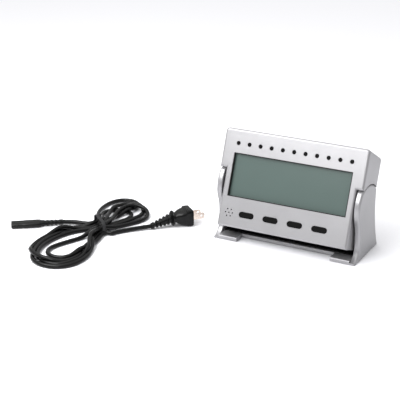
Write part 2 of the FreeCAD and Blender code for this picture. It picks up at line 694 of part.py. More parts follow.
def speaker():
    here = [(SPEAKER_X, SPEAKER_Z)]
    discs("speaker_cone", "head", "Y", [
        (INNER_FACE + 0.3, INNER_FACE + 1.5, D.speaker_radius - 1),
    ], here)
    discs("speaker_basket", "head", "Y", [
        (INNER_FACE + 1.5, INNER_FACE + 4.0, D.speaker_radius),
    ], here)
    discs("speaker_magnet", "head", "Y", [
        (INNER_FACE + 4.0, INNER_FACE + 7.5, D.speaker_radius - 3.5),
    ], here)


# ---------------------------------------------------------------- head: electronics and mains

def main_electronics():
    board = new_body("main_board", "head")
    pad(board, "Y", MAIN_BOARD_FRONT, MAIN_BOARD_BACK, lambda s: rectangle(
        s, MAIN_BOARD_LEFT, MAIN_BOARD_LOW, MAIN_BOARD_RIGHT, MAIN_BOARD_HIGH))
    cut(board, "Y", MAIN_BOARD_FRONT, MAIN_BOARD_BACK, lambda s: [
        circle(s, x, z, BOARD_HOLE_RADIUS) for x, z in MAIN_POST_PLACES])
    discs("main_board_screws", "head", "Y", [
        (MAIN_BOARD_FRONT - BOARD_SCREW_HEAD_TALL, MAIN_BOARD_FRONT, BOARD_SCREW_HEAD),
        (MAIN_BOARD_FRONT, MAIN_BOARD_BACK + 6, BOARD_SCREW_RADIUS),
    ], MAIN_POST_PLACES)
    chip = new_body("timer_chip", "head")
    pad(chip, "Y", MAIN_BOARD_FRONT - CHIP_THICK, MAIN_BOARD_FRONT, lambda s: rectangle(
        s, CHIP_LEFT, CHIP_LOW, CHIP_LEFT + CHIP_SIDE, CHIP_LOW + CHIP_SIDE))
    discs("capacitors", "head", "Y", [
        (MAIN_BOARD_FRONT - CAPACITOR_LONG, MAIN_BOARD_FRONT, CAPACITOR_RADIUS),
    ], CAPACITOR_PLACES)


def transformer():
    front, back = TRANSFORMER_FRONT, INNER_REAR
    low, high = TRANSFORMER_Z - LIMB_HALF_TALL, TRANSFORMER_Z + LIMB_HALF_TALL

    def limbs(sketch, gap):
        for x in (TRANSFORMER_X - LIMB_X, TRANSFORMER_X + LIMB_X):
            half = LIMB_HALF_WIDE - gap
            rectangle(sketch, x - half, low + gap, x + half, high - gap)

    core = new_body("transformer_core", "head")
    pad(core, "Y", front, back, lambda s: rectangle(
        s, TRANSFORMER_X - CORE_HALF_WIDE, TRANSFORMER_Z - CORE_HALF_TALL,
        TRANSFORMER_X + CORE_HALF_WIDE, TRANSFORMER_Z + CORE_HALF_TALL))
    cut(core, "Y", front, back, lambda s: limbs(s, 0))
    coil = new_body("transformer_coil", "head")
    reach = LIMB_X + LIMB_HALF_WIDE
    pad(coil, "Y", front - COIL_OVERHANG, front, lambda s: rectangle(
        s, TRANSFORMER_X - reach, low, TRANSFORMER_X + reach, high))
    pad(coil, "Y", front, back - 1, lambda s: limbs(s, LIMB_GAP))


def inlet():
    half_wide, half_tall = SOCKET_BODY_WIDE / 2, SOCKET_BODY_TALL / 2
    x, z = D.socket_x, -D.socket_drop
    floor = REAR - D.socket_deep
    socket = new_body("inlet_socket", "head")
    pad(socket, "Y", floor - 2, REAR, lambda s: rectangle(
        s, x - half_wide, z - half_tall, x + half_wide, z + half_tall))
    pad(socket, "Y", INNER_REAR - 1.5, INNER_REAR, lambda s: rectangle(
        s, x - half_wide - SOCKET_FLANGE, z - half_tall - SOCKET_FLANGE,
        x + half_wide + SOCKET_FLANGE, z + half_tall + SOCKET_FLANGE))
    cut(socket, "Y", floor, REAR, lambda s: obround(s, x, z, D.socket_wide, D.socket_tall))
    half = D.contact_pitch / 2
    cut(socket, "Y", floor - 2, floor, lambda s: [
        circle(s, x + side * half, z, D.contact_radius) for side in (-1, 1)])
    pins = discs("inlet_contacts", "head", "Y", [
        (floor - 6, REAR - 3, D.contact_radius),
    ], [(x - half, z), (x + half, z)])
    round_edges(pins, 0.4, lambda b: flat(REAR - 3, b.YMin, b.YMax))


def battery():
    discs("coin_cell", "head", "Y", [
        (CELL_FLOOR + CELL_CONTACT_THICK, CELL_FLOOR + CELL_CONTACT_THICK + D.cell_thick, D.cell_radius),
    ], [(D.door_x, CELL_RISE)])
    clips = new_body("cell_contacts", "head")
    pad(clips, "Y", CELL_FLOOR, CELL_FLOOR + CELL_CONTACT_THICK, lambda s: rectangle(
        s, D.door_x - 4, CELL_RISE - 6, D.door_x + 4, CELL_RISE + 6))
    half = D.door_wide / 2 - D.fit_gap
    door = new_body("battery_door", "head")
    pad(door, "Y", DOOR_FLOOR + 0.3, REAR, lambda s: rectangle(
        s, D.door_x - half, D.door_low + D.fit_gap, D.door_x + half, D.door_high))
    cut(door, "Y", REAR - 0.7, REAR, lambda s: [
        rectangle(s, D.door_x - 8, D.door_low + 6 + 2.4 * step, D.door_x + 8, D.door_low + 7.2 + 2.4 * step)
        for step in range(4)])


def case_screws():
    discs("case_screws", "head", "Y", [
        (INNER_FACE + 2, CASE_SCREW_SEAT, D.screw_radius),
        (CASE_SCREW_SEAT, CASE_SCREW_SEAT + 2.2, D.screw_head),
    ], CASE_SCREW_PLACES)


# ---------------------------------------------------------------- stand

def arm_side(sketch):
    """Arm seen from the side: toe, hollow shin, forward bulge, round top and hollow back."""
    shin = -(D.toe_front - ARM_SHIN_SETBACK)
    rear, front = size(ARM_REAR_SHOULDER), size(ARM_FRONT_SHOULDER)
    outline(sketch, [
        (-D.toe_front, BASE_LOW),
        (D.base_back, BASE_LOW, -REAR_HOLLOW_RADIUS),
        (rear, D.pivot_height + across(D.arch_radius, rear), D.arch_radius),
        (-front, D.pivot_height + across(D.arch_radius, front), FRONT_BULGE_RADIUS),
        (-ARM_BULGE_FRONT, D.pivot_height + ARM_BULGE_LOW, -FRONT_HOLLOW_RADIUS),
        (shin, D.pivot_height - ARM_SHIN_TOP),
        (shin, D.pivot_height - ARM_SHIN_FOOT, -TOE_HOLLOW_RADIUS),
        (-D.toe_front, BASE_LOW + TOE_EDGE),
    ])


def arm(label, side):
    body = new_body(label)
    outer, inner = side * HALF_WIDE, side * ARM_INNER
    toe = side * (HALF_WIDE - D.toe_wide)
    tongue = toe + side * TONGUE_LONG

    def span(a, b):
        return (a, b) if a.value < b.value else (b, a)

    pad(body, "X", *span(outer, inner), arm_side)
    round_edges(body, 2.6, lambda b: flat(outer, b.XMin, b.XMax) and b.ZMax > BASE_LOW.value + 3)
    round_edges(body, 1.0, lambda b: flat(inner, b.XMin, b.XMax) and b.ZMin > BASE_LOW.value + 1
                and b.YMax < 0)
    low_x, high_x = span(toe, inner)
    pad(body, "Z", BASE_LOW, BASE_TOP, lambda s: rectangle(s, low_x, -D.toe_front, high_x, D.base_back))
    round_edges(body, 1.2, lambda b: flat(BASE_TOP, b.ZMin, b.ZMax) and flat(-D.toe_front, b.YMin, b.YMax))
    low_x, high_x = span(toe, tongue)
    cut(body, "Z", BASE_LOW, BASE_LOW + TONGUE_THICK, lambda s: rectangle(
        s, low_x, -TONGUE_FRONT, high_x, TONGUE_BACK))
    low_x, high_x = span(inner, inner + side * PIN_SEAT)
    cut(body, "X", low_x, high_x, lambda s: circle(s, 0, D.pivot_height, D.pin_radius))
    cut(body, "Z", BASE_LOW + TONGUE_THICK, BASE_TOP - 0.6, lambda s: [
        circle(s, side * BASE_SCREW_X, y, D.screw_radius) for y in BASE_SCREW_Y])


def stand_base():
    body = new_body("base_plate")
    reach = HALF_WIDE - D.toe_wide
    pad(body, "Z", BASE_LOW, BASE_TOP, lambda s: rectangle(s, -reach, -D.base_front, reach, D.base_back))
    round_edges(body, 0.9, lambda b: flat(BASE_TOP, b.ZMin, b.ZMax) and flat(-D.base_front, b.YMin, b.YMax))
    cut(body, "Z", BASE_LOW, BASE_TOP - 1.8, lambda s: rectangle(
        s, -reach + 6, -D.base_front + 3, reach - 6, D.base_back - 3))
    grow = reach + TONGUE_LONG
    pad(body, "Z", BASE_LOW, BASE_LOW + TONGUE_THICK, lambda s: [
        rectangle(s, low, -TONGUE_FRONT, high, TONGUE_BACK)
        for low, high in ((-grow, -reach), (reach, grow))])
    cut(body, "Z", BASE_LOW, BASE_LOW + TONGUE_THICK, lambda s: [
        circle(s, side * BASE_SCREW_X, y, D.screw_radius) for side in (-1, 1) for y in BASE_SCREW_Y])


def stand_tray():
    body = new_body("cradle_tray")
    half = ARM_INNER - 0.2
    front, back = -(D.base_front - 1.8), D.base_back - 1.6
    pad(body, "Z", BASE_TOP, TRAY_TOP, lambda s: rectangle(s, -half, front, half, back))
    pad(body, "Z", TRAY_TOP, TRAY_TOP + D.tray_wall, lambda s: rectangle(s, -half, back - 1.5, half, back))


def stand_fixings():
    discs("base_screws", "stand", "Z", [
        (BASE_LOW + TONGUE_THICK - 1, BASE_TOP - 1.2, D.screw_radius),
    ], [(side * BASE_SCREW_X, y) for side in (-1, 1) for y in BASE_SCREW_Y])
    discs("rubber_feet", "stand", "Z", [
        (0, BASE_LOW, FOOT_RADIUS),
    ], [(side * (HALF_WIDE - 9), y) for side in (-1, 1) for y in (-D.toe_front + 9, D.base_back - 8)])


def mirrored_rings(label, spans):
    """Rings on the tilt axis, one each side: spans are (near, far, inner radius, outer radius)."""
    body = new_body(label)
    for near, far, inner, outer in spans:
        for low, high in ((-far, -near), (near, far)):
            def draw(sketch, inner=inner, outer=outer):
                circle(sketch, 0, D.pivot_height, outer)
                if inner is not None:
                    circle(sketch, 0, D.pivot_height, inner)
            pad(body, "X", low, high, draw)
    return body


def pivot():
    boss_end = HALF_NARROW - D.wall - D.boss_length
    mirrored_rings("pivot_pins", [(boss_end - 2.2, ARM_INNER + PIN_SEAT, None, D.pin_radius)])
    mirrored_rings("friction_washers", [(HALF_NARROW + 0.2, ARM_INNER, D.pin_radius + 0.3, WASHER_RADIUS)])
    mirrored_rings("pivot_clips", [
        (boss_end - 1.5, boss_end - 0.4, D.pin_radius, D.pin_radius + CLIP_RIM)])


# ---------------------------------------------------------------- mains lead

def rounded_path(points):
    """Straight runs joined by tangent arcs, each arc as large as its two runs allow."""
    edges, radii, last = [], [], points[0]
    for before, corner, after in zip(points, points[1:], points[2:]):
        inward, outward = before - corner, after - corner
        reach = 0.45 * min(inward.Length, outward.Length)
        inward.normalize()
        outward.normalize()
        half_turn = (math.pi - inward.getAngle(outward)) / 2
        radius = reach / math.tan(half_turn)
        start, end = corner + inward * reach, corner + outward * reach
        bisector = (inward + outward).normalize()
        middle = corner + bisector * (radius / math.cos(half_turn) - radius)
        edges.append(Part.LineSegment(last, start).toShape())
        edges.append(Part.Arc(start, middle, end).toShape())
        radii.append(round(radius, 1))
        last = end
    edges.append(Part.LineSegment(last, points[-1]).toShape())
    return Part.Wire(edges), radii


def cord_tube(label, points):
    points = [Vector(*p) for p in points]
    path, radii = rounded_path(points)
    along = (points[1] - points[0]).normalize()
    ring = Part.Wire(Part.Circle(points[0], along, D.cord_radius.value).toShape())
    solid = path.makePipeShell([ring], True, False)
    expected = math.pi * D.cord_radius.value ** 2 * path.Length
    if abs(solid.Volume / expected - 1) > 0.01:
        raise RuntimeError("%s has the wrong volume" % label)
    feature = DOC.addObject("Part::Feature", label)
    feature.Label = label
    feature.Shape = solid
    PARTS.append(feature)
    print(label, "arc radii", radii, "length", round(path.Length, 1))


def on_line(frame, distance, height):
    """Point of a lead piece's own axis: distance along its local +X."""
    x, y, turn = (getattr(D, frame + end).value for end in ("_x", "_y", "_turn"))
    turn = math.radians(turn)
    return (x + distance * math.cos(turn), y + distance * math.sin(turn), height)


def lead_connector():
    body = new_body("lead_connector", "connector")
    start = D.connector_relief
    nose = start + D.connector_long
    pad(body, "X", start, nose, lambda s: obround(s, 0, CONNECTOR_AXIS, CONNECTOR_WIDE, CONNECTOR_TALL))
    round_edges(body, 0.8, lambda b: flat(start, b.XMin, b.XMax) or flat(nose, b.XMin, b.XMax))
    cut(body, "X", nose - 9, nose, lambda s: [
        circle(s, side * D.contact_pitch / 2, CONNECTOR_AXIS, D.contact_radius + 0.25) for side in (-1, 1)])


def ribbed_profile(long, thin, thick, ribs):
    """Outline of a strain relief that tapers from thick to thin, with grooves between its ribs."""
    long, thin, thick = size(long), size(thin), size(thick)
    points = [(0, 0), (0, thin)]
    for rib in range(ribs):
        start, end = (rib + 0.25) / ribs, (rib + 0.65) / ribs
        for share, drop in ((start, 0), (start, 1), (end, 1), (end, 0)):
            points.append((long * share, thin + (thick - thin) * share - drop))
    return points + [(long, thick), (long, 0)]


def lead_reliefs():
    relief = new_body("connector_relief", "connector")
    turned(relief, ribbed_profile(D.connector_relief, 3.5, 4.0, 4))
    relief.Placement.Base.z = CONNECTOR_AXIS
    relief = new_body("plug_strain_relief", "plug")
    turned(relief, ribbed_profile(D.plug_relief, 3.8, 5.8, 5))
    slope = math.degrees(math.atan2(D.plug_tall.value / 2 - PLUG_RELIEF_END, D.plug_relief.value))
    turn = Rotation(Vector(0, 0, 1), D.plug_turn.value) * Rotation(Vector(0, 1, 0), -slope)
    relief.setExpression("Placement.Rotation.Angle", None)
    relief.Placement = Placement(Vector(D.plug_x.value, D.plug_y.value, PLUG_RELIEF_END), turn)


def blade_sections(sketch):
    for side, tall in BLADE_TALL.items():
        x = side * D.blade_pitch / 2
        rectangle(sketch, x - BLADE_HALF_THICK, PLUG_MIDDLE - tall / 2,
                  x + BLADE_HALF_THICK, PLUG_MIDDLE + tall / 2)


def lead_plug():
    body = new_body("plug_body", "plug")
    start, end = D.plug_relief + 0.4, D.plug_relief + D.plug_long
    half = D.plug_wide / 2
    collar, shoulder = start + 3, start + 9
    pad(body, "Z", 0.2, D.plug_tall, lambda s: outline(s, [
        (collar, -half + 5), (shoulder, -half), (end, -half),
        (end, half), (shoulder, half), (collar, half - 5),
    ]))
    round_edges(body, 2.5, lambda b: b.ZLength < 0.01 and b.XMin < end.value - 1)
    pad(body, "X", start, collar, lambda s: circle(s, 0, PLUG_MIDDLE, 9.5))
    cut(body, "X", end - BLADE_SEAT, end, blade_sections)
    blades = new_body("plug_blades", "plug")
    tip = end + D.blade_long
    pad(blades, "X", end - BLADE_SEAT, tip, blade_sections)
    cut(blades, "Y", -D.blade_pitch, D.blade_pitch, lambda s: circle(s, tip - 4, PLUG_MIDDLE, 1.5))


def lead_hank():
    """Outer shape of the folded, tied part of the lead, lifted where the tie passes under it."""
    body = new_body("lead_hank")
    pad(body, "Z", 0, HANK_LOW, lambda s: outline(s, HANK_OUTLINE))
    pad(body, "Z", HANK_LOW, HANK_TALL, lambda s: outline(s, HANK_DEEP))
    cut(body, "Z", 0, HANK_LOW, lambda s: outline(s, HANK_OPENING))
    cut(body, "Z", 0, D.tie_thick, lambda s: outline(s, tie_band_corners()))


def tie_band_corners():
    """Corners, seen from above, of the floor under the tie."""
    turn = math.radians(D.tie_turn.value)
    corners = []
    for u, v in ((-1, -1), (1, -1), (1, 1), (-1, 1)):
        along, aside = u * D.tie_long.value / 2, v * D.tie_wide.value / 2
        corners.append((D.tie_x.value + along * math.cos(turn) - aside * math.sin(turn),
                        D.tie_y.value + along * math.sin(turn) + aside * math.cos(turn)))
    return corners


def lead_tie():
    body = new_body("lead_tie", "tie")
    half_long, half_wide = D.tie_long / 2, D.tie_wide / 2
    pad(body, "X", -half_long, half_long, lambda s: rectangle(
        s, -half_wide - D.tie_thick, 0, half_wide + D.tie_thick, D.tie_tall + D.tie_thick))
    cut(body, "X", -half_long, half_long, lambda s: rectangle(
        s, -half_wide, D.tie_thick, half_wide, D.tie_tall))


def lead():
    lead_connector()
    lead_reliefs()
    lead_plug()
    lead_hank()
    lead_tie()
    cord_tube("lead_from_connector", [on_line("connector", 0, CONNECTOR_AXIS)] + LEAD_START)
    cord_tube("lead_to_plug", LEAD_END + [on_line("plug", 0, PLUG_RELIEF_END)])


# ---------------------------------------------------------------- build and write

def check_document():
    DOC.recompute()
    for item in DOC.Objects:
        if "Invalid" in item.State or "Error" in item.State:
            raise RuntimeError("%s failed: %s" % (item.Label, item.State))
    for piece in PARTS:
        if piece.Shape.isNull() or not piece.Shape.isValid():
            raise RuntimeError(piece.Label + " has no valid shape")


def main():
    front_bezel()
    rear_shell()
    display()
    lamps()
    keys()
    speaker()
    main_electronics()
    transformer()
    inlet()
    battery()
    case_screws()
    arm("left_arm", -1)
    arm("right_arm", 1)
    stand_base()
    stand_tray()
    stand_fixings()
    pivot()
    lead()
    check_document()
    os.makedirs("parts", exist_ok=True)
    for piece in PARTS:
        piece.Shape.exportStep("parts/%s.step" % piece.Label)
    print(len(PARTS), "nodes written")


main()
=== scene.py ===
"""Looks of the tilting round timer and its tied mains lead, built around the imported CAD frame."""
import math

import bpy
import bmesh
import numpy as np
from mathutils import Matrix, Vector


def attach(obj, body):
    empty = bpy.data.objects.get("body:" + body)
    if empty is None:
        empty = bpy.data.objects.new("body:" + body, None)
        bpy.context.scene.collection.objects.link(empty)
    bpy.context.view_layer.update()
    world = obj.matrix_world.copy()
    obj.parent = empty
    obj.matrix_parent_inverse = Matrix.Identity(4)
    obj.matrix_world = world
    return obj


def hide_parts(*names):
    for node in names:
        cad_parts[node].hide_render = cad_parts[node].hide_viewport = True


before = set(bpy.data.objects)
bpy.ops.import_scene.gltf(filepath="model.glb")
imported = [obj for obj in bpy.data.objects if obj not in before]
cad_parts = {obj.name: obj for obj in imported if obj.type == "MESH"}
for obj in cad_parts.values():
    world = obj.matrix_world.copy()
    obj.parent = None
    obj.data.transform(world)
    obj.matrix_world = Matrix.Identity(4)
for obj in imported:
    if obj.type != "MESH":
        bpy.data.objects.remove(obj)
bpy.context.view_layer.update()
scene = bpy.context.scene

# ---------------------------------------------------------------- camera

CAMERA_PLACE = (0.5361, -1.2477, 0.5853)
CAMERA_AZIMUTH = 28.1
CAMERA_ELEVATION = 21.4
CAMERA_ROLL = -0.16
CAMERA_LENS = 108.0


def make_camera():
    data = bpy.data.cameras.new("camera")
    data.lens = CAMERA_LENS
    data.sensor_width = 36.0
    data.clip_start, data.clip_end = 0.05, 20.0
    camera = bpy.data.objects.new("camera", data)
    scene.collection.objects.link(camera)
    turn = Matrix.Rotation(math.radians(CAMERA_AZIMUTH), 4, "Z")
    tip = Matrix.Rotation(math.radians(90 - CAMERA_ELEVATION), 4, "X")
    roll = Matrix.Rotation(math.radians(CAMERA_ROLL), 4, "Z")
    camera.matrix_world = Matrix.Translation(CAMERA_PLACE) @ turn @ tip @ roll
    scene.camera = camera


make_camera()

# ---------------------------------------------------------------- mains lead: its line

STRAND = 0.0055
HALF_STRAND = STRAND / 2

# Where the lead lies uncoiled: the same points as the CAD route, in metres.
CONNECTOR_END = (-0.2807, -0.0874, 0.0042)
LEAD_START = [(-0.2704, -0.0800, 0.0036), (-0.2600, -0.0765, 0.0030), (-0.2500, -0.0750, 0.0029)]
LEAD_END = [(-0.2060, -0.0835, 0.0029), (-0.1970, -0.0710, 0.0031), (-0.1860, -0.0590, 0.0036)]
PLUG_END = (-0.1743, -0.0483, 0.0044)

# The hank: every turn goes from the waist round a far fold, and back round a near loop. The tie
# crosses the waist aslant.
WAIST = (-0.2285, -0.0820)
TIE_TURN = math.radians(50.8)
TIE_ALONG = np.array([math.cos(TIE_TURN), math.sin(TIE_TURN)])
TIE_ACROSS = np.array([math.sin(TIE_TURN), -math.cos(TIE_TURN)])
TIE_HALF_WIDE = 0.0165
TIE_TALL = 0.0164
TIE_HALF_LONG = 0.0020
TIE_THICK = 0.0010
# heading in degrees, reach, half width going out and coming back, fullness of each, height
FAR_FOLDS = [
    (99, 0.102, (0.0180, 0.0235), (1.0, 1.4), 0.0028),
    (94, 0.066, (0.0180, 0.0180), (1.0, 1.2), 0.0028),
    (88, 0.086, (0.0180, 0.0185), (1.0, 1.0), 0.0083),
    (76, 0.077, (0.0180, 0.0180), (1.2, 1.0), 0.0130),
]
NEAR_LOOPS = [
    (271, 0.1235, (0.0405, 0.0290), (2.2, 1.0), 0.0028),
    (269, 0.1150, (0.0430, 0.0240), (2.2, 1.0), 0.0085),
    (271, 0.1160, (0.0340, 0.0215), (2.0, 1.0), 0.0028),
    (269, 0.0990, (0.0185, 0.0185), (1.0, 1.0), 0.0085),
]
# Where strands pass the waist, on their way out and on their way back: across, height.
OUTWARD = [(-0.0115, 0.0038), (0.0000, 0.0087), (0.0045, 0.0038), (0.0040, 0.0132), (0.0132, 0.0038)]
BACK = [(-0.0115, 0.0090), (-0.0055, 0.0090), (-0.0030, 0.0132), (0.0070, 0.0087)]
FOLD_POINTS = 26
LOOP_POINTS = 34
# Points left out where the hank joins each free end, and points that stay put while it settles.
MERGE = 4
HELD = 2
HANK_STEP = 0.005
# Shape of one turn: how blunt its sides are, the peak that bluntness gives, and the share of the turn
# over which it leaves and regains its place at the waist.
BLUNT = 0.4
BLUNT_PEAK = 0.86
EASE_SHARE = 0.35
# How the hank settles. Points fewer than NEAR_POINTS apart along the lead don't push each other.
SETTLE_STEPS = 500
NEAR_POINTS = 5
STRAND_ROOM = 1.02 * STRAND
BEND_RADIUS = 3.8 * STRAND
BEND_SPANS = (3, 6)
SINK = 0.00004
EVEN_PASSES = 3
PUSH_PASSES = 2
YIELD = 0.25
SMOOTHING = 0.5
HOMING = 0.01
TIE_PULL = 0.3


def eased(share):
    share = np.clip(share, 0, 1)
    return share * share * (3 - 2 * share)


def hank_turn(shape, enters, leaves, count):
    """Points of one loop from the waist and back to it, anticlockwise from above."""
    heading, reach, half_wide, fullness, height = shape
    share = (np.arange(count) + 0.5) / count
    ahead = np.array([math.cos(math.radians(heading)), math.sin(math.radians(heading))])
    right = np.array([ahead[1], -ahead[0]])
    swell = np.sin(np.pi * share)
    out = share < 0.5
    along = reach * swell ** np.where(out, *fullness)
    aside = np.where(out, *half_wide) * np.sin(2 * np.pi * share) * swell ** BLUNT / BLUNT_PEAK
    early = 1 - eased(share / EASE_SHARE)
    late = eased((share - (1 - EASE_SHARE)) / EASE_SHARE)
    flat = np.array(WAIST) + np.outer(along, ahead) + np.outer(aside, right)
    flat += np.outer(early * enters[0] + late * leaves[0], TIE_ACROSS)
    lift = height + early * (enters[1] - height) + late * (leaves[1] - height)
    return np.column_stack([flat, lift])


def evenly(points, step):
    along = np.concatenate([[0], np.cumsum(np.linalg.norm(np.diff(points, axis=0), axis=1))])
    places = np.linspace(0, along[-1], int(round(along[-1] / step)) + 1)
    return np.column_stack([np.interp(places, along, points[:, k]) for k in range(3)])


def even_out(points, step):
    """Bring neighbouring points back toward one step apart."""
    run = np.diff(points, axis=0)
    long = np.linalg.norm(run, axis=1, keepdims=True)
    shift = run * (1 - step / long) * YIELD
    points[:-1] += shift
    points[1:] -= shift


def open_bends(points, span, chord):
    """Part the points a span apart wherever the lead bends tighter than that chord allows."""
    run = points[span:] - points[:-span]
    long = np.linalg.norm(run, axis=1, keepdims=True)
    shift = run / long * np.clip(chord - long, 0, None) * YIELD
    points[span:] += shift
    points[:-span] -= shift


def smooth(points):
    """Soften sudden changes of bend, and leave an even bend as it is."""
    sag = np.zeros_like(points)
    sag[1:-1] = (points[:-2] + points[2:]) / 2 - points[1:-1]
    sag[1:-1] -= (sag[:-2] + sag[2:]) / 2
    points += sag * SMOOTHING


def push_apart(points, first, second):
    """Part the pairs of points that are nearer than a strand's room."""
    apart = points[second] - points[first]
    far = np.linalg.norm(apart, axis=1)
    hit = np.nonzero(far < STRAND_ROOM)[0]
    push = apart[hit] / far[hit, None] * (STRAND_ROOM - far[hit, None]) / 2
    moved, times = np.zeros_like(points), np.zeros((len(points), 1))
    np.add.at(moved, first[hit], -push)
    np.add.at(moved, second[hit], push)
    np.add.at(times, first[hit], 1)
    np.add.at(times, second[hit], 1)
    points += moved / np.maximum(times, 1)


def stay_tied(points):
    """Draw the strands at the waist inside the tie, and keep every strand on or above the floor."""
    from_waist = points[:, :2] - WAIST
    aside = from_waist @ TIE_ACROSS
    tied = np.abs(from_waist @ TIE_ALONG) < 2 * TIE_HALF_LONG
    over = aside - np.clip(aside, HALF_STRAND - TIE_HALF_WIDE, TIE_HALF_WIDE - HALF_STRAND)
    points[tied, :2] -= np.outer(over[tied], TIE_ACROSS) * TIE_PULL
    points[tied, 2] = np.clip(points[tied, 2], TIE_THICK + HALF_STRAND, TIE_TALL - HALF_STRAND)
    points[:, 2] = np.maximum(points[:, 2], HALF_STRAND)


def settle(points):
    """Let the turns push each other apart, sink to the floor and stay inside the tie."""
    home = points.copy()
    step = np.linalg.norm(np.diff(points, axis=0), axis=1).mean()
    first, second = np.triu_indices(len(points), NEAR_POINTS)
    turned = 2 * BEND_RADIUS
    chords = [(span, turned * math.sin(span * step / turned)) for span in BEND_SPANS]
    for _ in range(SETTLE_STEPS):
        points[HELD:-HELD, 2] -= SINK
        for _ in range(EVEN_PASSES):
            even_out(points, step)
        for span, chord in chords:
            open_bends(points, span, chord)
        smooth(points)
        for _ in range(PUSH_PASSES):
            push_apart(points, first, second)
        points[:, :2] += (home[:, :2] - points[:, :2]) * HOMING
        stay_tied(points)
        points[:HELD] = home[:HELD]
        points[-HELD:] = home[-HELD:]
    return points


def lead_points():
    turns = []
    for number, (fold, loop) in enumerate(zip(FAR_FOLDS, NEAR_LOOPS)):
        turns.append(hank_turn(fold, OUTWARD[number], BACK[number], FOLD_POINTS))
        turns.append(hank_turn(loop, BACK[number], OUTWARD[number + 1], LOOP_POINTS))
    turns[0] = turns[0][MERGE:]
    turns[-1] = turns[-1][:-MERGE]
    rough = np.concatenate([LEAD_START[-1:], *turns, LEAD_END[:1]])
    hank = settle(evenly(rough, HANK_STEP))
    return [CONNECTOR_END, *LEAD_START[:-1], *hank.tolist(), *LEAD_END[1:], PLUG_END]


def make_lead():
    """The lead as one round tube."""
    curve = bpy.data.curves.new("mains_lead", "CURVE")
    curve.dimensions = "3D"
    curve.bevel_depth = 1.0
    curve.bevel_resolution = 5
    curve.resolution_u = 3
    curve.use_fill_caps = True
    line = lead_points()
    spline = curve.splines.new("NURBS")
    spline.points.add(len(line) - 1)
    for point, place in zip(spline.points, line):
        point.co = (*place, 1)
        point.radius = HALF_STRAND
    spline.order_u = 3
    spline.use_endpoint_u = True
    lead = bpy.data.objects.new("mains_lead", curve)
    scene.collection.objects.link(lead)
    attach(lead, "stand")
    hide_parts("lead_from_connector", "lead_hank", "lead_to_plug")
    return lead


lead = make_lead()

# ---------------------------------------------------------------- mains lead: its end pieces

MM = 0.001
CONNECTOR_TURN = math.radians(215.9)
CONNECTOR_AXIS = 4.2
CONNECTOR_RELIEF = 27.0
CONNECTOR_LONG = 38.0
CONNECTOR_WIDE = 14.9
CONNECTOR_TALL = 7.7
CONTACT_PITCH = 8.6
CONTACT_HOLE = 1.35
CONTACT_DEEP = 8
# Connector, from its rear shoulder to its nose: distance, growth of its half width, pinch.
CONNECTOR_SECTIONS = [
    (0, -1.6, 0), (0.3, -0.9, 0), (1.2, -0.2, 0), (3, 0, 0), (9, 0.05, 0.02), (15, 0.05, 0.04),
    (20, 0, 0.05), (21, -0.05, 0.07), (22, -0.25, 0.22), (26, -0.3, 0.25), (32, -0.3, 0.27),
    (37, -0.3, 0.28), (37.7, -0.5, 0.28), (38, -0.9, 0.28),
]
PINCH_WIDE = 1.9
PLUG_TURN = math.radians(50.0)
PLUG_RELIEF_END = 4.4
PLUG_RELIEF = 27.0
PLUG_LONG = 26.5
PLUG_WIDE = 25.0
PLUG_TALL = 22.0
BLADE_PITCH = 12.7
BLADE_LONG = 16.5
BLADE_TALL = {-1: 7.9, 1: 6.3}
BLADE_THICK = 1.5
BLADE_ROOT = 3
BLADE_CHAMFER = 1.4
BLADE_HOLE = 1.5
BLADE_HOLE_BACK = 4
HOLE_CORNERS = 16
TIE_CORNER = 0.0045
RING_POINTS = 48
SHARP_FROM = math.radians(40)


def on_lead(obj, place, turn, node):
    """Seat a piece drawn in millimetres along +X at one end of the lead."""
    obj.matrix_world = Matrix.Translation((place[0], place[1], 0)) @ Matrix.Rotation(turn, 4, "Z")
    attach(obj, "stand")
    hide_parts(node)
    return obj


def new_object(name, mesh):
    obj = bpy.data.objects.new(name, mesh)
    scene.collection.objects.link(obj)
    return obj


def ring(x, half_wide, half_tall, middle, power, dip=0.0):
    """A rounded section across X. dip pinches its flat sides into a figure of eight."""
    points = []
    for step in range(RING_POINTS):
        turn = 2 * math.pi * step / RING_POINTS
        side, up = math.cos(turn), math.sin(turn)
        y = half_wide * math.copysign(abs(side) ** (2 / power), side)
        z = half_tall * math.copysign(abs(up) ** (2 / power), up)
        z *= 1 - dip * math.exp(-(y / PINCH_WIDE) ** 2)
        points.append(Vector((x, y, z + middle)) * MM)
    return points


def lofted(name, sections):
    """A closed shell through rings of equal count, smooth except across sharp steps."""
    shell = bmesh.new()
    rings = [[shell.verts.new(point) for point in section] for section in sections]
    for here, there in zip(rings, rings[1:]):
        for k in range(RING_POINTS):
            after = (k + 1) % RING_POINTS
            shell.faces.new((here[k], here[after], there[after], there[k]))
    shell.faces.new(rings[0][::-1])
    shell.faces.new(rings[-1])
    bmesh.ops.recalc_face_normals(shell, faces=shell.faces)
    mesh = bpy.data.meshes.new(name)
    shell.to_mesh(mesh)
    shell.free()
    mesh.shade_smooth()
    mesh.set_sharp_from_angle(angle=SHARP_FROM)
    return mesh


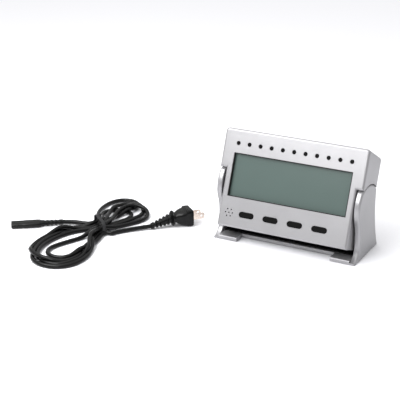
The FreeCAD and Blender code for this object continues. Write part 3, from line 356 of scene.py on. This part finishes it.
def drilled(mesh, places, x_from, x_to, radius):
    """The same shell with round holes along X, cut by a boolean whose result is kept."""
    body = new_object("body", mesh)
    drill = bmesh.new()
    for y, z in places:
        hole = bmesh.ops.create_cone(drill, cap_ends=True, segments=24, radius1=radius * MM,
                                     radius2=radius * MM, depth=(x_to - x_from) * MM)
        where = Matrix.Translation(Vector(((x_from + x_to) / 2, y, z)) * MM)
        lying = where @ Matrix.Rotation(math.pi / 2, 4, "Y")
        bmesh.ops.transform(drill, matrix=lying, verts=hole["verts"])
    drill_mesh = bpy.data.meshes.new("drill")
    drill.to_mesh(drill_mesh)
    drill.free()
    cutter = new_object("cutter", drill_mesh)
    boolean = body.modifiers.new("holes", "BOOLEAN")
    boolean.operation = "DIFFERENCE"
    boolean.object = cutter
    boolean.solver = "EXACT"
    made = body.evaluated_get(bpy.context.evaluated_depsgraph_get())
    result = bpy.data.meshes.new_from_object(made)
    bpy.data.objects.remove(body)
    bpy.data.objects.remove(cutter)
    return result


def rib(x, first, pitch, ribs):
    """1 on a rib of a strain relief, 0 in a groove, with rounded shoulders between."""
    phase = (x - first) / pitch
    if phase < 0 or phase > ribs:
        return 1.0
    wave = 0.5 + 0.5 * math.cos(2 * math.pi * (phase - 0.15))
    return float(eased((wave - 0.25) / 0.5))


def make_connector():
    """Figure-eight appliance connector: pinched nose, plain grip, rounded rear shoulder."""
    start, end = CONNECTOR_RELIEF, CONNECTOR_RELIEF + CONNECTOR_LONG
    half_wide, half_tall = CONNECTOR_WIDE / 2, CONNECTOR_TALL / 2
    sections = []
    for x, grow, dip in CONNECTOR_SECTIONS:
        wide, tall = half_wide + grow, half_tall + grow * 0.7
        sections.append(ring(start + x, wide, tall, CONNECTOR_AXIS, 2.6, dip))
    shell = lofted("connector_shell", sections)
    holes = [(side * CONTACT_PITCH / 2, CONNECTOR_AXIS) for side in (-1, 1)]
    bored = drilled(shell, holes, end - CONTACT_DEEP, end + 2, CONTACT_HOLE)
    obj = new_object("connector_shell", bored)
    return on_lead(obj, CONNECTOR_END, CONNECTOR_TURN, "lead_connector")


def make_connector_boot():
    """Ribbed boot behind the connector."""
    sections = []
    for x in np.arange(0, CONNECTOR_RELIEF + 0.1, 0.45):
        share = x / CONNECTOR_RELIEF
        full = rib(x, 3.0, 5.2, 4)
        wide = 3.3 + 1.5 * share - 0.9 * (1 - full)
        tall = 3.3 + 0.3 * share - 0.6 * (1 - full)
        sections.append(ring(x, wide, tall, CONNECTOR_AXIS, 2.3))
    obj = new_object("connector_boot", lofted("connector_boot", sections))
    return on_lead(obj, CONNECTOR_END, CONNECTOR_TURN, "connector_relief")


def make_plug_boot():
    """Ribbed boot that widens toward the plug and climbs to the plug's middle."""
    sections = []
    for x in np.arange(0, PLUG_RELIEF + 0.1, 0.4):
        share = x / PLUG_RELIEF
        full = rib(x, 2.0, 4.9, 5)
        wide = 3.8 + 3.4 * share - 1.5 * (1 - full)
        tall = 3.6 + 3.6 * share - 1.5 * (1 - full)
        middle = PLUG_RELIEF_END + (PLUG_TALL / 2 - PLUG_RELIEF_END) * share
        sections.append(ring(x, wide, tall, middle, 2.4))
    obj = new_object("plug_boot", lofted("plug_boot", sections))
    return on_lead(obj, PLUG_END, PLUG_TURN, "plug_strain_relief")


# Plug, from its finger flange to its face: distance, half width and height as shares, squareness.
PLUG_SECTIONS = [
    (0.0, 0.60, 0.72, 2.2), (0.4, 0.74, 0.84, 2.2), (1.2, 0.79, 0.88, 2.2), (2.4, 0.77, 0.86, 2.2),
    (2.9, 0.62, 0.70, 2.3), (3.6, 0.50, 0.54, 2.5), (5.2, 0.54, 0.56, 2.6), (7.5, 0.66, 0.68, 2.8),
    (10.5, 0.80, 0.80, 3.0), (14.0, 0.89, 0.87, 3.4), (17.2, 0.93, 0.90, 4.0), (17.8, 0.97, 0.955, 5.0),
    (18.6, 1.0, 1.0, 6.0), (24.9, 1.0, 1.0, 6.0), (25.7, 0.985, 0.985, 6.0), (26.1, 0.94, 0.94, 6.0),
]


def make_plug_shell():
    """Plug: finger flange, narrow neck, then a grip that swells and squares off to its face."""
    start, middle = PLUG_RELIEF + 0.4, PLUG_TALL / 2
    half_wide, half_tall = PLUG_WIDE / 2, PLUG_TALL / 2 - 0.15
    sections = [ring(start + x, half_wide * wide, half_tall * tall, middle, power)
                for x, wide, tall, power in PLUG_SECTIONS]
    obj = new_object("plug_shell", lofted("plug_shell", sections))
    return on_lead(obj, PLUG_END, PLUG_TURN, "plug_body")


def blade_outline(long, tall):
    """Side outline of a blade: square root, chamfered tip."""
    half, bevel = tall / 2, BLADE_CHAMFER
    return [(-BLADE_ROOT, -half), (long - bevel, -half), (long, -half + bevel), (long, half - bevel),
            (long - bevel, half), (-BLADE_ROOT, half)]


def make_blades():
    """Two flat blades, the neutral one taller, each with a round hole near its tip."""
    blades = bmesh.new()
    face = PLUG_RELIEF + PLUG_LONG
    middle = PLUG_TALL / 2
    turns = [2 * math.pi * k / HOLE_CORNERS for k in range(HOLE_CORNERS)]
    hole = [(BLADE_LONG - BLADE_HOLE_BACK + BLADE_HOLE * math.cos(turn), BLADE_HOLE * math.sin(turn))
            for turn in turns]
    for side, tall in BLADE_TALL.items():
        y = side * BLADE_PITCH / 2
        edges = []
        for loop in (blade_outline(BLADE_LONG, tall), hole):
            corners = [blades.verts.new(Vector((face + x, y - BLADE_THICK / 2, middle + z)) * MM)
                       for x, z in loop]
            edges += [blades.edges.new((corners[k - 1], corners[k])) for k in range(len(corners))]
        flat = bmesh.ops.triangle_fill(blades, use_beauty=True, edges=edges)
        sheet = [f for f in flat["geom"] if isinstance(f, bmesh.types.BMFace)]
        thick = bmesh.ops.extrude_face_region(blades, geom=sheet, use_keep_orig=True)
        moved = [v for v in thick["geom"] if isinstance(v, bmesh.types.BMVert)]
        bmesh.ops.translate(blades, vec=(0, BLADE_THICK * MM, 0), verts=moved)
    bmesh.ops.recalc_face_normals(blades, faces=blades.faces)
    mesh = bpy.data.meshes.new("blades")
    blades.to_mesh(mesh)
    blades.free()
    obj = new_object("blades", mesh)
    bevel = obj.modifiers.new("edge", "BEVEL")
    bevel.width = 0.00018
    bevel.segments = 2
    bevel.limit_method = "ANGLE"
    bevel.angle_limit = math.radians(50)
    return on_lead(obj, PLUG_END, PLUG_TURN, "plug_blades")


def make_tie():
    """A flat band round the hank's waist, rounded at its corners."""
    half, corner = TIE_HALF_WIDE + TIE_THICK / 2, TIE_CORNER
    low, high = TIE_THICK / 2, TIE_TALL + TIE_THICK / 2
    line = []
    for turn, y, z in ((0, half, high), (90, -half, high), (180, -half, low), (270, half, low)):
        for step in range(7):
            angle = math.radians(turn + 15 * step)
            middle = (y - math.copysign(corner, y), z + (corner if z == low else -corner))
            line.append((middle[0] + corner * math.cos(angle), middle[1] + corner * math.sin(angle)))
    band = bmesh.new()
    rows = [[band.verts.new((x, y, z)) for y, z in line]
            for x in (-TIE_HALF_LONG, 0, TIE_HALF_LONG)]
    for here, there in zip(rows, rows[1:]):
        for k in range(len(line)):
            after = (k + 1) % len(line)
            band.faces.new((here[k], there[k], there[after], here[after]))
    mesh = bpy.data.meshes.new("tie_band")
    band.to_mesh(mesh)
    band.free()
    mesh.shade_smooth()
    obj = new_object("tie_band", mesh)
    solid = obj.modifiers.new("thick", "SOLIDIFY")
    solid.thickness = TIE_THICK
    solid.offset = 0
    edge = obj.modifiers.new("edge", "BEVEL")
    edge.width = 0.0002
    edge.limit_method = "ANGLE"
    return on_lead(obj, WAIST, TIE_TURN, "lead_tie")


end_pieces = [make_connector(), make_connector_boot(), make_plug_boot(), make_plug_shell()]
blades = make_blades()
tie = make_tie()

# ---------------------------------------------------------------- materials

# Relief of the finest grain, in metres, and roughness of a clear coat.
GRAIN_DEEP = 0.0002
COAT_ROUGH = 0.08


def remap(tree, source, was, becomes):
    """Map one range of a value onto another."""
    node = tree.nodes.new("ShaderNodeMapRange")
    node.inputs["From Min"].default_value, node.inputs["From Max"].default_value = was
    node.inputs["To Min"].default_value, node.inputs["To Max"].default_value = becomes
    tree.links.new(source, node.inputs["Value"])
    return node.outputs["Result"]


def material(name, colour, rough, metallic=0.0, coat=0.0, shade=0.05, grain=2500.0, bump=0.05,
             rough_swing=0.06, stretch=(1, 1, 1), cloud=25.0, sheen=0.0, specular=0.5):
    """A finish with cloudy shade, fine grain in its roughness and bump, each at its real scale."""
    made = bpy.data.materials.new(name)
    made.use_nodes = True
    tree = made.node_tree
    shader = tree.nodes["Principled BSDF"]
    shader.inputs["Metallic"].default_value = metallic
    shader.inputs["Coat Weight"].default_value = coat
    shader.inputs["Coat Roughness"].default_value = COAT_ROUGH
    shader.inputs["Sheen Weight"].default_value = sheen
    shader.inputs["Specular IOR Level"].default_value = specular
    place = tree.nodes.new("ShaderNodeTexCoord")
    mapping = tree.nodes.new("ShaderNodeMapping")
    mapping.inputs["Scale"].default_value = stretch
    tree.links.new(place.outputs["Object"], mapping.inputs["Vector"])

    def noise(scale, detail):
        node = tree.nodes.new("ShaderNodeTexNoise")
        node.inputs["Scale"].default_value = scale
        node.inputs["Detail"].default_value = detail
        tree.links.new(mapping.outputs["Vector"], node.inputs["Vector"])
        return node.outputs["Fac"]

    clouds, fine = noise(cloud, 3.0), noise(grain, 2.0)
    both = tree.nodes.new("ShaderNodeMath")
    both.operation = "MULTIPLY"
    tree.links.new(clouds, both.inputs[0])
    tree.links.new(fine, both.inputs[1])
    tint = remap(tree, both.outputs[0], (0.12, 0.40), (0.0, 1.0))
    mix = tree.nodes.new("ShaderNodeMix")
    mix.data_type = "RGBA"
    mix.inputs["A"].default_value = (*[c * (1 - shade) for c in colour], 1)
    mix.inputs["B"].default_value = (*[min(c * (1 + shade), 1) for c in colour], 1)
    tree.links.new(tint, mix.inputs["Factor"])
    tree.links.new(mix.outputs["Result"], shader.inputs["Base Color"])
    swing = remap(tree, fine, (0.3, 0.7), (rough - rough_swing, rough + rough_swing))
    tree.links.new(swing, shader.inputs["Roughness"])
    relief = tree.nodes.new("ShaderNodeBump")
    relief.inputs["Strength"].default_value = bump
    relief.inputs["Distance"].default_value = GRAIN_DEEP
    tree.links.new(fine, relief.inputs["Height"])
    tree.links.new(relief.outputs["Normal"], shader.inputs["Normal"])
    return made


FINISHES = {
    "silver_case": material("silver_case", (0.325, 0.322, 0.332), 0.34, metallic=0.62, shade=0.06,
                            grain=4200.0, bump=0.10, rough_swing=0.05),
    "black_plastic": material("black_plastic", (0.006, 0.006, 0.006), 0.45, bump=0.2, shade=0.15,
                              specular=0.2),
    "key_black": material("key_black", (0.002, 0.002, 0.002), 0.42, bump=0.25, shade=0.15, grain=5000.0,
                          specular=0.08),
    "lamp_dark": material("lamp_dark", (0.003, 0.003, 0.003), 0.16, bump=0.02, shade=0.1, specular=0.12),
    "display_glass": material("display_glass", (0.062, 0.091, 0.083), 0.22, coat=0.15, bump=0.01,
                              shade=0.02, grain=6000.0, rough_swing=0.03),
    "guide_white": material("guide_white", (0.80, 0.80, 0.76), 0.5),
    "board_green": material("board_green", (0.02, 0.12, 0.045), 0.35, bump=0.15, grain=1500.0, shade=0.2),
    "led_red": material("led_red", (0.35, 0.02, 0.02), 0.2, coat=0.4),
    "rubber": material("rubber", (0.018, 0.018, 0.018), 0.75, bump=0.3, sheen=0.1),
    "steel": material("steel", (0.55, 0.55, 0.56), 0.3, metallic=1.0, stretch=(1, 1, 30), grain=900.0),
    "capacitor_sleeve": material("capacitor_sleeve", (0.02, 0.03, 0.10), 0.25, coat=0.3),
    "brass": material("brass", (0.70, 0.60, 0.53), 0.26, metallic=1.0, stretch=(1, 12, 12), grain=700.0,
                      shade=0.08),
    "lead_black": material("lead_black", (0.002, 0.002, 0.002), 0.24, bump=0.12, shade=0.2, grain=3000.0,
                           specular=0.20),
    "tie": material("tie", (0.014, 0.014, 0.015), 0.6, bump=0.3, shade=0.2, grain=3000.0, specular=0.3),
}
SLOT_NODES = {
    "silver_case": ["front_bezel", "rear_shell", "left_arm", "right_arm", "base_plate", "battery_door"],
    # The cradle tray is black plastic; its black is also painted shade for the deep shade inside the
    # cradle, under the head and between the arms.
    "black_plastic": ["cradle_tray", "display_frame", "inlet_socket", "transformer_coil", "timer_chip",
                      "speaker_cone", "key_switches"],
    "key_black": ["key_cap_1", "key_cap_2", "key_cap_3", "key_cap_4"],
    "lamp_dark": ["lamp_windows"],
    "display_glass": ["display_glass"],
    "guide_white": ["light_guide"],
    "board_green": ["display_board", "key_board", "main_board"],
    "led_red": ["lamp_leds"],
    "rubber": ["rubber_feet", "friction_washers"],
    "steel": ["pivot_pins", "pivot_clips", "base_screws", "board_screws", "main_board_screws",
              "case_screws", "transformer_core", "speaker_basket", "speaker_magnet", "coin_cell",
              "cell_contacts"],
    "capacitor_sleeve": ["capacitors"],
    "brass": ["inlet_contacts"],
}


def finish(obj, name):
    obj.data.materials.clear()
    obj.data.materials.append(FINISHES[name])


for slot, names in SLOT_NODES.items():
    for name in names:
        finish(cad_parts[name], slot)
for piece in [lead, *end_pieces]:
    finish(piece, "lead_black")
finish(blades, "brass")
finish(tie, "tie")

# ---------------------------------------------------------------- stage and light

FLOOR_HALF = 6.0


def make_stage():
    mesh = bpy.data.meshes.new("floor")
    corners = [(-FLOOR_HALF, -FLOOR_HALF, 0), (FLOOR_HALF, -FLOOR_HALF, 0),
               (FLOOR_HALF, FLOOR_HALF, 0), (-FLOOR_HALF, FLOOR_HALF, 0)]
    mesh.from_pydata(corners, [], [(0, 1, 2, 3)])
    floor = new_object("floor", mesh)
    mesh.materials.append(material("floor", (0.90, 0.90, 0.925), 0.6, shade=0.0, bump=0.0))


def softbox(name, place, target, size, power):
    data = bpy.data.lights.new(name, "AREA")
    data.shape = "RECTANGLE"
    data.size, data.size_y = size
    data.energy = power
    light = new_object(name, data)
    light.location = place
    light.rotation_mode = "QUATERNION"
    light.rotation_quaternion = (Vector(target) - Vector(place)).to_track_quat("-Z", "Y")
    light.visible_camera = False


def make_world():
    """White surroundings: bright overhead, greyer toward the horizon."""
    world = bpy.data.worlds.new("world")
    scene.world = world
    world.use_nodes = True
    tree = world.node_tree
    place = tree.nodes.new("ShaderNodeTexCoord")
    split = tree.nodes.new("ShaderNodeSeparateXYZ")
    tree.links.new(place.outputs["Generated"], split.inputs[0])
    ramp = remap(tree, split.outputs["Z"], (0.05, 0.75), (0.40, 1.05))
    tree.links.new(ramp, tree.nodes["Background"].inputs["Strength"])
    tree.nodes["Background"].inputs["Color"].default_value = (1, 1, 1, 1)


make_stage()
make_world()
softbox("key", (-0.50, -0.20, 1.30), (0, 0, 0), (1.4, 1.4), 8.0)
softbox("front", (-0.30, -0.52, 0.60), (0, 0, 0.16), (0.8, 0.4), 7.0)
scene.view_settings.view_transform = "Standard"
